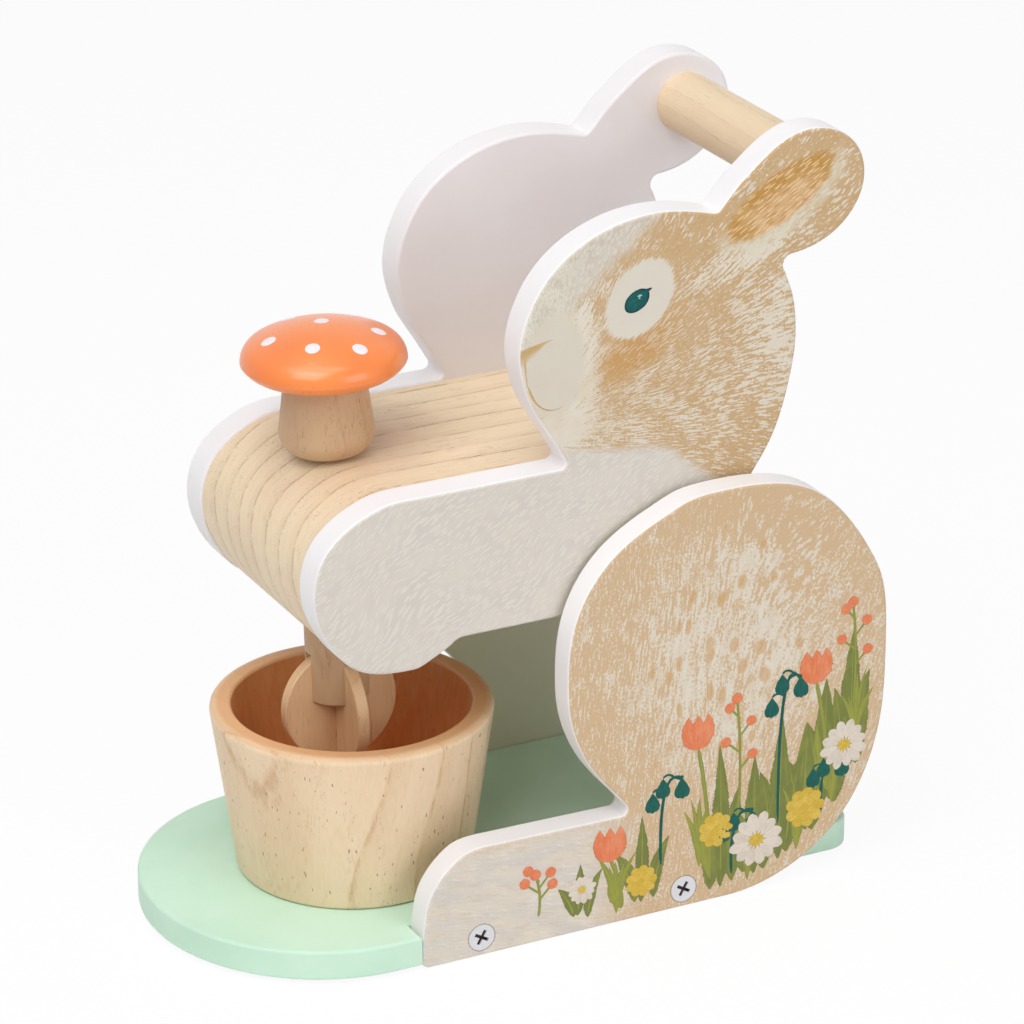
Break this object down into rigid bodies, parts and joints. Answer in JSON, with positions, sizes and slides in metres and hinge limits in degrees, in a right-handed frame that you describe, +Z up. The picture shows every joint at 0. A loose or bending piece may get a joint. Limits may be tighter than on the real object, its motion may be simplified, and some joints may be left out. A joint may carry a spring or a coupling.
{
  "type": "toy stand mixer",
  "caption": "Wooden toy stand mixer shaped like a sitting rabbit, with a tilting head and arm, a turning mushroom knob that drives a disc whisk, and a loose bowl.",
  "frame": {"origin": "middle of the footprint, on the ground", "axes": "-X the way the rabbit looks, -Y its left side, +Z up"},
  "size_m": [0.2324, 0.1204, 0.2521],
  "materials": {
    "mint_paint": "satin mint paint over wood",
    "printed_panel": "printed fur-coloured faces over white-painted board, satin",
    "arm_wood": "bare pale beech, lightly oiled",
    "bowl_wood": "bare turned beech",
    "whisk_wood": "bare turned beech",
    "dowel_wood": "bare beech",
    "orange_paint": "satin orange paint with white spots",
    "zinc_screw": "zinc-plated",
    "washer": "plain slip washer"
  },
  "bodies": {
    "base": {"base_board": "mint_paint", "left_haunch_panel": "printed_panel", "right_haunch_panel": "printed_panel", "base_screws": "zinc_screw", "rest_rail": "dowel_wood", "stop_rail": "dowel_wood", "rail_pins": "dowel_wood", "pivot_dowel": "dowel_wood", "pivot_washers": "washer"},
    "head": {"left_head_panel": "printed_panel", "right_head_panel": "printed_panel", "arm_block": "arm_wood", "head_pins": "dowel_wood", "ear_handle": "dowel_wood"},
    "whisk": {"mushroom_cap": "orange_paint", "mushroom_stem": "whisk_wood", "spindle_screw": "zinc_screw", "whisk_washers": "washer", "whisk_shaft": "whisk_wood", "whisk_disc_long": "whisk_wood", "whisk_disc_cross": "whisk_wood"},
    "bowl": {"mixing_bowl": "bowl_wood"}
  },
  "joints": [
    {"name": "head_tilt", "type": "hinge", "parent": "base", "child": "head", "pos_m": [0.046, 0, 0.124], "axis": [0, 1, 0], "range_deg": [0, 48]},
    {"name": "whisk_turn", "type": "hinge", "parent": "head", "child": "whisk", "pos_m": [-0.0527, 0, 0.15425], "axis": [-0.0262, 0, 0.9997], "continuous": true},
    {"name": "bowl_slide", "type": "slide", "parent": "base", "child": "bowl", "axis": [-1, 0, 0], "range_m": [0, 0.014]}
  ]
}
